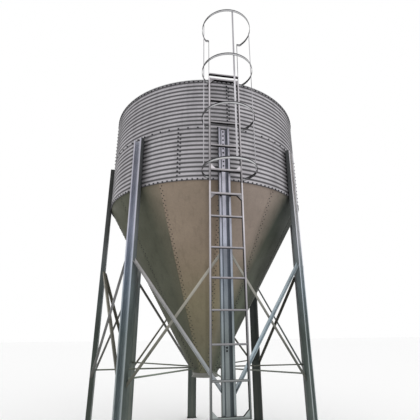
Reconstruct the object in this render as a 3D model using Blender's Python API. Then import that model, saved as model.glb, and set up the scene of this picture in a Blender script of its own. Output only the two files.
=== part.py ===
"""Galvanised grain silo on eight legs, with a 60 degree hopper, a cone roof and a caged ladder.

Metres, +Z up. The front, with the ladder and its cage, faces -Y.
"""
import math

import bmesh
import bpy
from mathutils import Matrix, Vector

# Clear gap left between two pieces that touch
SEAT_GAP = 0.0003

# Tank: crest radius of the corrugated wall, and the levels above the ground
SEGMENTS = 96
TANK_RADIUS = 1.834
CORRUGATION_DEPTH = 0.012
RING_HEIGHT = 0.914
WALL_BOTTOM = 3.928
WALL_SEAM = WALL_BOTTOM + RING_HEIGHT
WALL_TOP = WALL_SEAM + RING_HEIGHT
WALL_HEM = 0.014
WALL_INNER = TANK_RADIUS - CORRUGATION_DEPTH

# Hopper cone, which hangs inside the foot of the wall on an upright flange
CONE_SLOPE = math.radians(60.54)
CONE_SKIN = 0.008
CONE_FLANGE_HEIGHT = 0.060
CONE_TOP_RADIUS = WALL_INNER - SEAT_GAP
CONE_BOTTOM = 1.086

# Outlet collar under the cone
COLLAR_HEIGHT = 0.070
COLLAR_SKIN = 0.0095
COLLAR_FLANGE_WIDTH = 0.016
COLLAR_FLANGE_HEIGHT = 0.008

# Roof, with a folded rib over the joint between each two panels
ROOF_SLOPE = math.radians(30.0)
ROOF_SKIN = 0.012
ROOF_HOLE_RADIUS = 0.300
RIB_COUNT = 24
RIB_FOOT_WIDTH = 0.040
RIB_TOP_WIDTH = 0.024
RIB_HEIGHT = 0.019
RIB_SUNK = 0.005
RIB_LOW_RADIUS = 1.720
RIB_HIGH_RADIUS = 0.340
NECK_SKIN = 0.010
NECK_BELOW_HOLE = 0.040
NECK_HEIGHT = 0.190
LID_SKIN = 0.006
LID_SKIRT = 0.050
LID_RISE = 0.035

# Legs: folded open channels, bolted to the wall along the pressed groove in their web
LEG_COUNT = 8
LEG_WIDTH = 0.178
LEG_DEPTH = 0.073
LEG_LIP = 0.032
LEG_SKIN = 0.004
LEG_GROOVE_WIDTH = 0.050
LEG_GROOVE_DEPTH = 0.005
LEG_GROOVE_FLARE = 0.010
LEG_TOP = 4.795
LEG_BACK = TANK_RADIUS * math.cos(math.pi / SEGMENTS) + SEAT_GAP
LEG_FRONT = LEG_BACK + LEG_GROOVE_DEPTH + LEG_DEPTH
FOOT_PLATE_WIDTH = 0.200
FOOT_PLATE_DEPTH = 0.100
FOOT_PLATE_HEIGHT = 0.012

# Cross braces: two angle bars in each of the eight bays
BRACE_SIZE = 0.045
BRACE_SKIN = 0.005
BRACE_LOW = 1.090
BRACE_HIGH = 2.750
BRACE_RADIUS = LEG_FRONT - BRACE_SIZE

# Radial tie bars from the legs to the foot of the cone
TIE_SIZE = 0.022
TIE_SKIN = 0.004
TIE_LEVEL = 1.160

# Ladder, in two lengths that meet end to end
LADDER_WIDTH = 0.502
LADDER_FRONT = 2.000
LADDER_DEPTH = 0.045
RAIL_FLANGE = 0.025
RAIL_SKIN = 0.003
RUNG_HEIGHT = 0.024
END_BAR_HEIGHT = 0.032
GUSSET_SIZE = 0.072
LOWER_END_BARS = (0.790, 3.632)
LOWER_RUNG_FIRST = 1.188
LOWER_RUNG_PITCH = 0.412
LOWER_RUNG_COUNT = 5
LOWER_RUNG_LAST = 3.286
UPPER_RUNG_FIRST = 4.012
UPPER_RUNG_PITCH = 0.410
UPPER_RUNG_COUNT = 5
RAIL_OVERRUN = 0.016
RAIL_JOINT = 3.820
TOP_STEP_LEVEL = 5.750
HANDRAIL_WIDTH = 0.018
HANDRAIL_SKIN = 0.006
LUG_SIZE = 0.025
LEG_LUG_OFFSET = 0.070
WALL_LUG_OFFSET = LADDER_WIDTH / 2 - 0.016

# Safety cage: four flat hoops, whose ends turn in to the rails, and three upright straps inside them
CAGE_CENTRE = 2.233
HOOP_RADIUS = 0.392
HOOP_HEIGHT = 0.030
HOOP_SKIN = 0.005
HOOP_STEPS = 48
HOOP_LOWEST = 3.890
HOOP_PITCH = 0.853
HOOP_COUNT = 4
HOOP_ENDS_BACK = CAGE_CENTRE - LADDER_FRONT + LADDER_DEPTH / 2
HOOP_HALF_ARC = math.acos(-HOOP_ENDS_BACK / HOOP_RADIUS)
STRAP_WIDTH = 0.025
STRAP_SKIN = 0.005
STRAP_ANGLES = {"strap_left": -80.0, "strap_front": 2.5, "strap_right": 88.0}
HANDRAIL_TOP = HOOP_LOWEST + (HOOP_COUNT - 1) * HOOP_PITCH + HOOP_HEIGHT / 2

# The frame's origin lies under the middle of the whole silo, so the tank's axis is behind it
CAGE_REACH = CAGE_CENTRE + HOOP_RADIUS + HOOP_SKIN / 2
FOOT_REACH = LEG_FRONT + 0.010
AXIS_Y = (CAGE_REACH - FOOT_REACH) / 2

LEG_NAMES = ("front", "front_right", "right", "back_right", "back", "back_left", "left", "front_left")


def clear_scene():
    for old in list(bpy.data.objects):
        bpy.data.objects.remove(old, do_unlink=True)


def make_material(name, color, roughness, metallic):
    material = bpy.data.materials.new(name)
    material.use_nodes = True
    shader = material.node_tree.nodes["Principled BSDF"]
    shader.inputs["Base Color"].default_value = (*color, 1.0)
    shader.inputs["Roughness"].default_value = roughness
    shader.inputs["Metallic"].default_value = metallic
    return material


def add_object(name, mesh, axis, material, azimuth=0.0, smooth=False):
    """Link a mesh as an object turned about the tank's axis by an azimuth in degrees."""
    part = bpy.data.objects.new(name, mesh)
    bpy.context.scene.collection.objects.link(part)
    if not mesh.materials:
        mesh.materials.append(material)
    part.parent = axis
    part.rotation_euler.z = math.radians(azimuth)
    if smooth:
        mesh.shade_smooth()
        mesh.set_sharp_from_angle(angle=math.radians(35.0))
    return part


def mesh_from(bm, name):
    bmesh.ops.recalc_face_normals(bm, faces=bm.faces)
    mesh = bpy.data.meshes.new(name)
    bm.to_mesh(mesh)
    bm.free()
    return mesh


def revolve(bm, profile):
    """Turn a closed loop of (radius, height) points all the way round the Z axis."""
    turn = Matrix.Rotation(math.pi / SEGMENTS, 3, "Z")
    loop = [bm.verts.new(turn @ Vector((0.0, -radius, height))) for radius, height in profile]
    edges = []
    for first, second in zip(loop, loop[1:] + loop[:1]):
        on_axis = first.co.xy.length < SEAT_GAP and second.co.xy.length < SEAT_GAP
        if not on_axis:
            edges.append(bm.edges.new((first, second)))
    bmesh.ops.spin(bm, geom=loop + edges, axis=(0, 0, 1), cent=(0, 0, 0),
                   angle=2 * math.pi, steps=SEGMENTS, use_merge=True)
    bmesh.ops.remove_doubles(bm, verts=bm.verts, dist=SEAT_GAP / 3)


def sheet_outline(centre_line, thickness):
    """Return the closed outline of a folded sheet from the open line through its middle."""
    points = [Vector(point) for point in centre_line]
    runs = [(b - a).normalized() for a, b in zip(points, points[1:])]
    left_side, right_side = [], []
    for index, point in enumerate(points):
        before = runs[max(index - 1, 0)]
        after = runs[min(index, len(runs) - 1)]
        mitre = (before.orthogonal() + after.orthogonal()).normalized()
        reach = thickness / 2 / mitre.dot(after.orthogonal())
        left_side.append(point + mitre * reach)
        right_side.append(point - mitre * reach)
    return left_side + right_side[::-1]


def prism(bm, outline, place_start, place_end):
    """Add a closed prism whose two ends are the outline as each place function puts it."""
    start = [bm.verts.new(place_start(point)) for point in outline]
    end = [bm.verts.new(place_end(point)) for point in outline]
    bm.faces.new(start)
    bm.faces.new(end[::-1])
    count = len(outline)
    for index in range(count):
        following = (index + 1) % count
        bm.faces.new((start[index], end[index], end[following], start[following]))


def upright_prism(bm, outline, low, high):
    prism(bm, outline, lambda p: Vector((p[0], p[1], low)), lambda p: Vector((p[0], p[1], high)))


def crosswise_prism(bm, outline, left, right):
    """Add a prism along X from an outline of (Y, Z) points."""
    prism(bm, outline, lambda p: Vector((left, p[0], p[1])), lambda p: Vector((right, p[0], p[1])))


def box(bm, low, high):
    outline = [(low[0], low[1]), (high[0], low[1]), (high[0], high[1]), (low[0], high[1])]
    upright_prism(bm, outline, low[2], high[2])


def single_mesh(name, build):
    bm = bmesh.new()
    build(bm)
    return mesh_from(bm, name)


def revolved_mesh(name, profile):
    return single_mesh(name, lambda bm: revolve(bm, profile))


def fused_mesh(name, builders):
    """Union the pieces that the builders make into one closed body."""
    pieces = []
    for number, build in enumerate(builders):
        piece = bpy.data.objects.new(f"{name}_piece_{number}", single_mesh(name, build))
        bpy.context.scene.collection.objects.link(piece)
        pieces.append(piece)
    body = pieces[0]
    for piece in pieces[1:]:
        union = body.modifiers.new("Union", "BOOLEAN")
        union.operation = "UNION"
        union.solver = "EXACT"
        union.object = piece
    bpy.context.view_layer.update()
    graph = bpy.context.evaluated_depsgraph_get()
    mesh = bpy.data.meshes.new_from_object(body.evaluated_get(graph))
    mesh.name = name
    for piece in pieces:
        bpy.data.objects.remove(piece, do_unlink=True)
    return mesh


def cone_radius(height):
    """Outer radius of the hopper cone at a height above the ground."""
    return CONE_TOP_RADIUS - (WALL_BOTTOM - height) / math.tan(CONE_SLOPE)


def build_walls(axis, material):
    rings = (
        ("wall_ring_lower", WALL_BOTTOM - WALL_HEM, WALL_SEAM),
        ("wall_ring_upper", WALL_SEAM, WALL_TOP),
    )
    for name, low, high in rings:
        bottom = low + SEAT_GAP / 2
        top = high - SEAT_GAP / 2
        profile = [(WALL_INNER, bottom), (TANK_RADIUS, bottom), (TANK_RADIUS, top), (WALL_INNER, top)]
        add_object(name, revolved_mesh(name, profile), axis, material, smooth=True)


def build_hopper(axis, material):
    skin_across = CONE_SKIN / math.sin(CONE_SLOPE)
    flange_top = WALL_BOTTOM + CONE_FLANGE_HEIGHT
    profile = [
        (cone_radius(CONE_BOTTOM), CONE_BOTTOM),
        (CONE_TOP_RADIUS, WALL_BOTTOM),
        (CONE_TOP_RADIUS, flange_top),
        (CONE_TOP_RADIUS - skin_across, flange_top),
        (CONE_TOP_RADIUS - skin_across, WALL_BOTTOM),
        (cone_radius(CONE_BOTTOM) - skin_across, CONE_BOTTOM),
    ]
    add_object("hopper_cone", revolved_mesh("hopper_cone", profile), axis, material, smooth=True)


def build_outlet(axis, material):
    outer = cone_radius(CONE_BOTTOM)
    inner = outer - COLLAR_SKIN
    top = CONE_BOTTOM - SEAT_GAP
    bottom = top - COLLAR_HEIGHT
    flange_top = bottom + COLLAR_FLANGE_HEIGHT
    profile = [
        (inner, bottom),
        (outer + COLLAR_FLANGE_WIDTH, bottom),
        (outer + COLLAR_FLANGE_WIDTH, flange_top),
        (outer, flange_top),
        (outer, top),
        (inner, top),
    ]
    add_object("outlet_collar", revolved_mesh("outlet_collar", profile), axis, material, smooth=True)


def roof_height(radius):
    """Height of the roof's upper surface at a radius."""
    return WALL_TOP + ROOF_SKIN + (TANK_RADIUS - radius) * math.tan(ROOF_SLOPE)


def roof_rib(bm, azimuth):
    """Add a rib that lies up the slope at an azimuth in radians, its foot sunk in the roof's skin."""
    turn = Matrix.Rotation(azimuth, 3, "Z")
    off_slope = Vector((0.0, -math.sin(ROOF_SLOPE), math.cos(ROOF_SLOPE)))

    def at_radius(radius):
        on_roof = Vector((0.0, -radius, roof_height(radius)))
        return lambda p: turn @ (on_roof + Vector((p[0], 0.0, 0.0)) + off_slope * p[1])

    foot, top = RIB_FOOT_WIDTH / 2, RIB_TOP_WIDTH / 2
    outline = [(-foot, -RIB_SUNK), (foot, -RIB_SUNK), (top, RIB_HEIGHT), (-top, RIB_HEIGHT)]
    prism(bm, outline, at_radius(RIB_LOW_RADIUS), at_radius(RIB_HIGH_RADIUS))


def roof_ribs(bm):
    for number in range(RIB_COUNT):
        roof_rib(bm, number * 2 * math.pi / RIB_COUNT)


def build_roof(axis, material):
    hole_top = roof_height(ROOF_HOLE_RADIUS)
    profile = [
        (TANK_RADIUS, WALL_TOP + SEAT_GAP / 2),
        (TANK_RADIUS, WALL_TOP + ROOF_SKIN),
        (ROOF_HOLE_RADIUS, hole_top),
        (ROOF_HOLE_RADIUS, hole_top - ROOF_SKIN),
        (WALL_INNER, WALL_TOP + SEAT_GAP / 2),
    ]
    mesh = fused_mesh("roof_cone", [lambda bm: revolve(bm, profile), roof_ribs])
    add_object("roof_cone", mesh, axis, material, smooth=True)

    neck_outer = ROOF_HOLE_RADIUS - SEAT_GAP
    neck_inner = neck_outer - NECK_SKIN
    neck_low = hole_top - NECK_BELOW_HOLE
    neck_high = neck_low + NECK_HEIGHT
    neck = [(neck_inner, neck_low), (neck_outer, neck_low), (neck_outer, neck_high), (neck_inner, neck_high)]
    add_object("filler_neck", revolved_mesh("filler_neck", neck), axis, material, smooth=True)

    lid_inner = neck_outer + SEAT_GAP
    lid_outer = lid_inner + LID_SKIN
    lid_low = neck_high - LID_SKIRT
    lid_seat = neck_high + SEAT_GAP
    lid_top_radius = lid_outer / 6
    lid = [
        (lid_inner, lid_low),
        (lid_outer, lid_low),
        (lid_outer, lid_seat + LID_SKIN),
        (lid_top_radius, lid_seat + LID_SKIN + LID_RISE),
        (0.0, lid_seat + LID_SKIN + LID_RISE),
        (0.0, lid_seat),
        (lid_inner, lid_seat),
    ]
    add_object("filler_lid", revolved_mesh("filler_lid", lid), axis, material, smooth=True)


def leg_outline():
    half = LEG_WIDTH / 2 - LEG_SKIN / 2
    front = -(LEG_FRONT - LEG_SKIN / 2)
    web = -(LEG_BACK + LEG_GROOVE_DEPTH + LEG_SKIN / 2)
    groove = -(LEG_BACK + LEG_SKIN / 2)
    groove_half = LEG_GROOVE_WIDTH / 2
    lip_edge = LEG_WIDTH / 2 - LEG_LIP
    left = [(-lip_edge, front), (-half, front), (-half, web)]
    left += [(-groove_half - LEG_GROOVE_FLARE, web), (-groove_half, groove)]
    right = [(-x, y) for x, y in left[::-1]]
    return sheet_outline(left + right, LEG_SKIN)


def build_legs(axis, material):
    plate_low = (-FOOT_PLATE_WIDTH / 2, -FOOT_REACH, 0.0)
    plate_high = (FOOT_PLATE_WIDTH / 2, -FOOT_REACH + FOOT_PLATE_DEPTH, FOOT_PLATE_HEIGHT)
    mesh = fused_mesh("leg", [
        lambda bm: upright_prism(bm, leg_outline(), FOOT_PLATE_HEIGHT / 2, LEG_TOP),
        lambda bm: box(bm, plate_low, plate_high),
    ])
    for number, place in enumerate(LEG_NAMES):
        add_object(f"leg_{place}", mesh, axis, material, azimuth=number * 360.0 / LEG_COUNT)


def brace_mesh(name, rises_right, outboard):
    """Angle bar across the bay to the right of the front leg, cut flush with both legs."""
    bay = 2 * math.pi / LEG_COUNT
    half = LEG_WIDTH / 2 + SEAT_GAP
    left_normal = Vector((1, 0, 0))
    left_point = Vector((half, -BRACE_RADIUS, 0))
    turn = Matrix.Rotation(bay, 3, "Z")
    right_normal = turn @ Vector((-1, 0, 0))
    right_point = turn @ Vector((-half, -BRACE_RADIUS, 0))
    outward = (Matrix.Rotation(bay / 2, 3, "Z") @ Vector((0, -1, 0))).normalized()

    left_end = left_point + Vector((0, 0, BRACE_LOW if rises_right else BRACE_HIGH))
    right_end = right_point + Vector((0, 0, BRACE_HIGH if rises_right else BRACE_LOW))
    along = (right_end - left_end).normalized()
    upward = along.cross(outward)
    if upward.z < 0:
        upward = -upward
    # The outer bar has its standing flange below and facing out, the inner bar above and facing in
    side = 1 if outboard else -1
    edge = -side * (BRACE_SIZE / 2 - BRACE_SKIN / 2)
    face = side * (SEAT_GAP + BRACE_SKIN) / 2
    tip = side * (BRACE_SIZE - BRACE_SKIN / 2)
    outline = sheet_outline([(-edge - side * BRACE_SKIN / 2, face), (edge, face), (edge, tip)], BRACE_SKIN)

    def cut_at(point, normal):
        def place(p):
            start = left_end + upward * p[0] + outward * p[1]
            return start + along * ((point - start).dot(normal) / along.dot(normal))
        return place

    return single_mesh(name, lambda bm: prism(
        bm, outline, cut_at(left_point, left_normal), cut_at(right_point, right_normal)))


def build_braces(axis, material):
    meshes = {}
    for outboard in (True, False):
        for rises_right in (True, False):
            label = f"brace_{'outer' if outboard else 'inner'}_{'right' if rises_right else 'left'}"
            meshes[outboard, rises_right] = brace_mesh(label, rises_right, outboard)
    for bay in range(LEG_COUNT):
        # The outer bars come down to every second leg, so they lean the other way in each next bay
        outer_rises_right = bay % 2 == 0
        for outboard in (True, False):
            rises_right = outer_rises_right if outboard else not outer_rises_right
            kind = "outer" if outboard else "inner"
            name = f"brace_{kind}_{bay + 1}"
            add_object(name, meshes[outboard, rises_right], axis, material, azimuth=bay * 360.0 / LEG_COUNT)


def build_ties(axis, material):
    """Angle bars from the cone's foot to the back of each leg."""
    outline = sheet_outline([
        (-TIE_SIZE / 2, TIE_LEVEL + TIE_SIZE / 2 - TIE_SKIN / 2),
        (TIE_SIZE / 2 - TIE_SKIN / 2, TIE_LEVEL + TIE_SIZE / 2 - TIE_SKIN / 2),
        (TIE_SIZE / 2 - TIE_SKIN / 2, TIE_LEVEL - TIE_SIZE / 2),
    ], TIE_SKIN)
    at_leg = -(LEG_BACK - SEAT_GAP)
    mesh = single_mesh("tie", lambda bm: prism(
        bm, outline,
        lambda p: Vector((p[0], at_leg, p[1])),
        lambda p: Vector((p[0], -(cone_radius(p[1]) + SEAT_GAP), p[1]))))
    for number, place in enumerate(LEG_NAMES):
        add_object(f"tie_{place}", mesh, axis, material, azimuth=number * 360.0 / LEG_COUNT)


def rail_outline(side):
    web = side * (LADDER_WIDTH / 2 - RAIL_SKIN / 2)
    edge = side * (LADDER_WIDTH / 2 - RAIL_FLANGE)
    front = -(LADDER_FRONT - RAIL_SKIN / 2)
    back = -(LADDER_FRONT - LADDER_DEPTH + RAIL_SKIN / 2)
    return sheet_outline([(edge, front), (web, front), (web, back), (edge, back)], RAIL_SKIN)


def rung(bm, level, height):
    """Folded rung, open below, whose ends and sides run into the rails."""
    front = -(LADDER_FRONT - RAIL_SKIN)
    back = -(LADDER_FRONT - LADDER_DEPTH + RAIL_SKIN)
    top = level + height / 2 - RAIL_SKIN / 2
    low = level - height / 2
    outline = sheet_outline([(front, low), (front, top), (back, top), (back, low)], RAIL_SKIN)
    reach = LADDER_WIDTH / 2 - RAIL_SKIN / 2
    crosswise_prism(bm, outline, -reach, reach)


def gusset(bm, level, side, upward):
    """Corner gusset between an end bar and a rail, with a sloping inner face."""
    corner_x = side * (LADDER_WIDTH / 2 - RAIL_SKIN / 2)
    corner_z = level + upward * (END_BAR_HEIGHT / 2 - RAIL_SKIN)
    inner_x = corner_x - side * (RAIL_FLANGE + GUSSET_SIZE)
    far_z = corner_z + upward * (RAIL_FLANGE + GUSSET_SIZE)
    front = -(LADDER_FRONT - RAIL_SKIN * 0.75)
    back = -(LADDER_FRONT - LADDER_DEPTH + RAIL_SKIN * 0.75)
    triangle = [(corner_x, corner_z), (inner_x, corner_z), (corner_x, far_z)]
    prism(bm, triangle, lambda p: Vector((p[0], front, p[1])), lambda p: Vector((p[0], back, p[1])))


def wall_face(x):
    """Distance in front of the tank's axis of the wall's flat facet at x."""
    facet_angle = 2 * math.pi / SEGMENTS
    turned = round(math.asin(x / TANK_RADIUS) / facet_angle) * facet_angle
    return (TANK_RADIUS * math.cos(facet_angle / 2) - x * math.sin(turned)) / math.cos(turned)


def lug(bm, level, x, reach_at):
    """Lug from the back of the ladder to what stands behind it, at the distance reach_at gives for an x."""
    front = -(LADDER_FRONT - LADDER_DEPTH + RAIL_SKIN * 1.5)
    left, right = x - LUG_SIZE / 2, x + LUG_SIZE / 2
    outline = [
        (left, front),
        (right, front),
        (right, -(reach_at(right) + SEAT_GAP)),
        (left, -(reach_at(left) + SEAT_GAP)),
    ]
    upright_prism(bm, outline, level - LUG_SIZE / 2, level + LUG_SIZE / 2)


def lug_to_leg(bm, level, side):
    lug(bm, level, side * LEG_LUG_OFFSET, lambda x: LEG_FRONT)


def lug_to_wall(bm, level, side):
    lug(bm, level, side * WALL_LUG_OFFSET, wall_face)


def ladder_length(levels, rail_low, rail_high, gusset_ways, lugs):
    """Build one length of ladder; its first and last bars are end bars with gussets and lugs."""
    builders = [
        lambda bm, side=side: upright_prism(bm, rail_outline(side), rail_low, rail_high)
        for side in (-1, 1)
    ]
    ends = (levels[0], levels[-1])
    for level in levels:
        height = END_BAR_HEIGHT if level in ends else RUNG_HEIGHT
        builders.append(lambda bm, level=level, height=height: rung(bm, level, height))
    for level, way, add_lug in zip(ends, gusset_ways, lugs):
        for side in (-1, 1):
            builders.append(lambda bm, level=level, side=side, way=way: gusset(bm, level, side, way))
            builders.append(lambda bm, level=level, side=side, add_lug=add_lug: add_lug(bm, level, side))
    return builders


def build_ladder(axis, material):
    low_bar, high_bar = LOWER_END_BARS
    even_rungs = [LOWER_RUNG_FIRST + LOWER_RUNG_PITCH * k for k in range(LOWER_RUNG_COUNT)]
    lower_levels = [low_bar, *even_rungs, LOWER_RUNG_LAST, high_bar]
    lower = ladder_length(lower_levels, low_bar - RAIL_OVERRUN,
                          RAIL_JOINT - SEAT_GAP / 2, (1, -1), (lug_to_leg, lug_to_leg))
    add_object("ladder_lower", fused_mesh("ladder_lower", lower), axis, material)

    upper_levels = [UPPER_RUNG_FIRST + UPPER_RUNG_PITCH * k for k in range(UPPER_RUNG_COUNT)]
    rail_top = upper_levels[-1] + RAIL_OVERRUN
    upper = ladder_length(upper_levels, RAIL_JOINT + SEAT_GAP / 2,
                          rail_top, (1, -1), (lug_to_leg, lug_to_wall))
    middle = -(LADDER_FRONT - LADDER_DEPTH / 2)
    for side in (-1, 1):
        outer = side * (LADDER_WIDTH / 2 - RAIL_SKIN / 2)
        inner = outer - side * HANDRAIL_SKIN
        low = (min(outer, inner), middle - HANDRAIL_WIDTH / 2, rail_top - GUSSET_SIZE)
        high = (max(outer, inner), middle + HANDRAIL_WIDTH / 2, HANDRAIL_TOP)
        upper.append(lambda bm, low=low, high=high: box(bm, low, high))
    upper.append(lambda bm: rung(bm, TOP_STEP_LEVEL, RUNG_HEIGHT))
    add_object("ladder_upper", fused_mesh("ladder_upper", upper), axis, material)


def hoop_mesh():
    """Flat bar bent round the cage's centre; its ends meet the outer sides of the rails."""
    rail_side = LADDER_WIDTH / 2 + SEAT_GAP
    angles = [HOOP_HALF_ARC * (2 * step / HOOP_STEPS - 1) for step in range(HOOP_STEPS + 1)]
    arc = [(HOOP_RADIUS * math.sin(angle), -HOOP_RADIUS * math.cos(angle)) for angle in angles]
    line = [(-rail_side, HOOP_ENDS_BACK), *arc, (rail_side, HOOP_ENDS_BACK)]
    outline = sheet_outline(line, HOOP_SKIN)
    return single_mesh("hoop", lambda bm: upright_prism(bm, outline, -HOOP_HEIGHT / 2, HOOP_HEIGHT / 2))


def build_cage(axis, material):
    mesh = hoop_mesh()
    for number in range(HOOP_COUNT):
        hoop = add_object(f"cage_hoop_{number + 1}", mesh, axis, material, smooth=True)
        hoop.location = (0.0, -CAGE_CENTRE, HOOP_LOWEST + number * HOOP_PITCH)

    inner = HOOP_RADIUS - HOOP_SKIN / 2
    strap_outer = inner * math.cos(HOOP_HALF_ARC / HOOP_STEPS) - SEAT_GAP
    strap_low = HOOP_LOWEST - HOOP_HEIGHT / 2
    strap_high = HANDRAIL_TOP
    strap = single_mesh("strap", lambda bm: box(
        bm,
        (-STRAP_WIDTH / 2, -strap_outer, strap_low),
        (STRAP_WIDTH / 2, -strap_outer + STRAP_SKIN, strap_high)))
    for name, angle in STRAP_ANGLES.items():
        bar = add_object(f"cage_{name}", strap, axis, material, azimuth=angle)
        bar.location = (0.0, -CAGE_CENTRE, 0.0)


def build_silo():
    clear_scene()
    axis = bpy.data.objects.new("silo_axis", None)
    axis.location = (0.0, AXIS_Y, 0.0)
    bpy.context.scene.collection.objects.link(axis)

    wall_steel = make_material("galvanised_wall", (0.50, 0.49, 0.51), 0.45, 0.85)
    cone_steel = make_material("hopper_steel", (0.23, 0.20, 0.16), 0.55, 0.60)
    roof_steel = make_material("roof_steel", (0.48, 0.48, 0.49), 0.45, 0.85)
    leg_steel = make_material("leg_steel", (0.27, 0.31, 0.36), 0.45, 0.80)
    brace_steel = make_material("brace_steel", (0.36, 0.37, 0.38), 0.50, 0.80)
    ladder_steel = make_material("ladder_steel", (0.52, 0.50, 0.51), 0.45, 0.80)

    build_walls(axis, wall_steel)
    build_hopper(axis, cone_steel)
    build_outlet(axis, cone_steel)
    build_roof(axis, roof_steel)
    build_legs(axis, leg_steel)
    build_braces(axis, brace_steel)
    build_ties(axis, brace_steel)
    build_ladder(axis, ladder_steel)
    build_cage(axis, ladder_steel)


build_silo()
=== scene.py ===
import math

import bpy
from mathutils import Matrix, Vector


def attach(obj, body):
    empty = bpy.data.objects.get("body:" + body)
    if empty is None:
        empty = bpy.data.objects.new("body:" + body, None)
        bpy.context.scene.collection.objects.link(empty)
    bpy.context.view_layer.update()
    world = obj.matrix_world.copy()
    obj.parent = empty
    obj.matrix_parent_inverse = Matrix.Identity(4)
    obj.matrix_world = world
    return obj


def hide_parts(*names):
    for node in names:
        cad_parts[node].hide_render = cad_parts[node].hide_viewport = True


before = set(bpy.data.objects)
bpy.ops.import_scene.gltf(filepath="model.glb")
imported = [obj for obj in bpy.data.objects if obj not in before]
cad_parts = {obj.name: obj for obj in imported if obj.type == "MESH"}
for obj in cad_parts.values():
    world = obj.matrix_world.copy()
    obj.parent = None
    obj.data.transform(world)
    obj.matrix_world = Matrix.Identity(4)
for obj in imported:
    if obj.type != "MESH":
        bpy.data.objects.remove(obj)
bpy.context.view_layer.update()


# Camera. It stands at eye height on the ground, a little left of the ladder, and looks up so that
# the cone and the underside of the tank fill the picture.
CAMERA_PLACE = (-1.00425, -6.10044, 1.77597)
CAMERA_HEADING = math.radians(-10.308)
CAMERA_PITCH = math.radians(19.5506)
CAMERA_ROLL = math.radians(-0.4635)
CAMERA_LENS = 29.116
CAMERA_SHIFT_X = -0.00796
CAMERA_SHIFT_Y = -0.00243

bpy.ops.object.camera_add()
camera = bpy.context.object
camera.name = "camera"
camera.data.lens = CAMERA_LENS
camera.data.shift_x = CAMERA_SHIFT_X
camera.data.shift_y = CAMERA_SHIFT_Y
camera.matrix_world = (
    Matrix.Translation(CAMERA_PLACE)
    @ Matrix.Rotation(CAMERA_HEADING, 4, "Z")
    @ Matrix.Rotation(math.pi / 2 + CAMERA_PITCH, 4, "X")
    @ Matrix.Rotation(CAMERA_ROLL, 4, "Z")
)
bpy.context.scene.camera = camera


# Tank wall. Two rings of galvanised steel sheets, each pressed with twelve corrugations and rolled to
# the tank's curve. Each sheet's left edge laps over the next sheet, and the upper ring laps over the
# outside of the lower one, with bolts through every lap.
AXIS = Vector((0.0, 0.35309, 0.0))
CREST_RADIUS = 1.833
WAVE_DEPTH = 0.012
WAVE_PITCH = 0.0754
FIRST_CREST = 3.932
RING_CRESTS = 12
POINTS_PER_WAVE = 8
WALL_BOTTOM = 3.914
RING_LAP_LOW = 4.822
RING_LAP_HIGH = 4.854
WALL_TOP = 5.756
RING_TUCK_BELOW = 0.004
RING_TUCK_LOW = RING_LAP_LOW - RING_TUCK_BELOW
SHEETS_ROUND = 4
SHEET_SPAN = 360.0 / SHEETS_ROUND
SHEET_SKIN = 0.0015
SHEET_STEP = 1.9
LAP_TUCK = 0.0019
LAP_STEP = 0.25
LAP_WIDTH = 2.4
LOWER_SEAM = -23.15
UPPER_SEAM = 1.85
INFILL_SEAM = 6.75
LEG_COUNT = 8
LEG_SPACING = 360.0 / LEG_COUNT
WALL_SHADE_WIDTH = (4.0, 8.0)
WALL_SHADE_TOP = (4.80, 4.86)
WALL_SHADE_SIDES = (15.0, 25.0)
WALL_SHADE_DEPTHS = (0.15, 0.5)
PATCH_SCALE = 2.2
STREAK_SCALE = 11.0
STREAK_STRETCH = (1.0, 1.0, 0.05)
GRAIN_SCALE = 220.0
CRYSTAL_SHARE = 0.16
CRYSTAL_DARK = 0.6
STREAK_SHARE = 0.35
STREAK_DARK = 0.55
WHITE = (1.0, 1.0, 1.0, 1.0)


def deselect_all():
    if bpy.context.mode != "OBJECT":
        bpy.ops.object.mode_set(mode="OBJECT")
    bpy.ops.object.select_all(action="DESELECT")


def pick(piece):
    """Leave one piece selected and active."""
    deselect_all()
    piece.select_set(True)
    bpy.context.view_layer.objects.active = piece


def on_ring(radius, azimuth, height):
    """The point at a radius from the tank's axis, with the azimuth in degrees to the right of the front."""
    angle = math.radians(azimuth)
    return AXIS + Vector((radius * math.sin(angle), -radius * math.cos(angle), height))


def outward_at(azimuth, rise=0.0):
    """The direction away from the tank's axis at an azimuth, tilted up or down by the rise in degrees."""
    angle = math.radians(azimuth)
    tilt = math.radians(rise)
    return Vector((math.sin(angle) * math.cos(tilt), -math.cos(angle) * math.cos(tilt), math.sin(tilt)))


def draw_line(name, points):
    """Merge a small plane to one vertex and extrude it from point to point; stays in edit mode."""
    points = [Vector(point) for point in points]
    deselect_all()
    bpy.ops.mesh.primitive_plane_add(size=0.01, location=points[0])
    piece = bpy.context.object
    piece.name = name
    bpy.ops.object.mode_set(mode="EDIT")
    bpy.ops.mesh.select_all(action="SELECT")
    bpy.ops.mesh.merge(type="CENTER")
    for before, after in zip(points, points[1:]):
        bpy.ops.mesh.extrude_vertices_move(TRANSFORM_OT_translate={"value": after - before})
    bpy.ops.mesh.select_all(action="SELECT")
    return piece


def draw_profile(name, outline, azimuth=0.0):
    """Draw a line through radii and heights, at one azimuth; stays in edit mode."""
    return draw_line(name, [on_ring(radius, azimuth, height) for radius, height in outline])


def sweep(degrees, steps):
    """Spin the selected line about the tank's axis, to the right as seen from the front."""
    bpy.ops.mesh.spin(steps=steps, angle=math.radians(degrees), center=AXIS, axis=(0, 0, -1))


def settle(piece):
    """Leave edit mode and put the piece's place into its mesh."""
    pick(piece)
    bpy.ops.object.transform_apply(location=True, rotation=True, scale=True)


def flip_faces():
    """Turn all the faces of the active piece over."""
    bpy.ops.object.mode_set(mode="EDIT")
    bpy.ops.mesh.select_all(action="SELECT")
    bpy.ops.mesh.flip_normals()
    bpy.ops.object.mode_set(mode="OBJECT")


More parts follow.
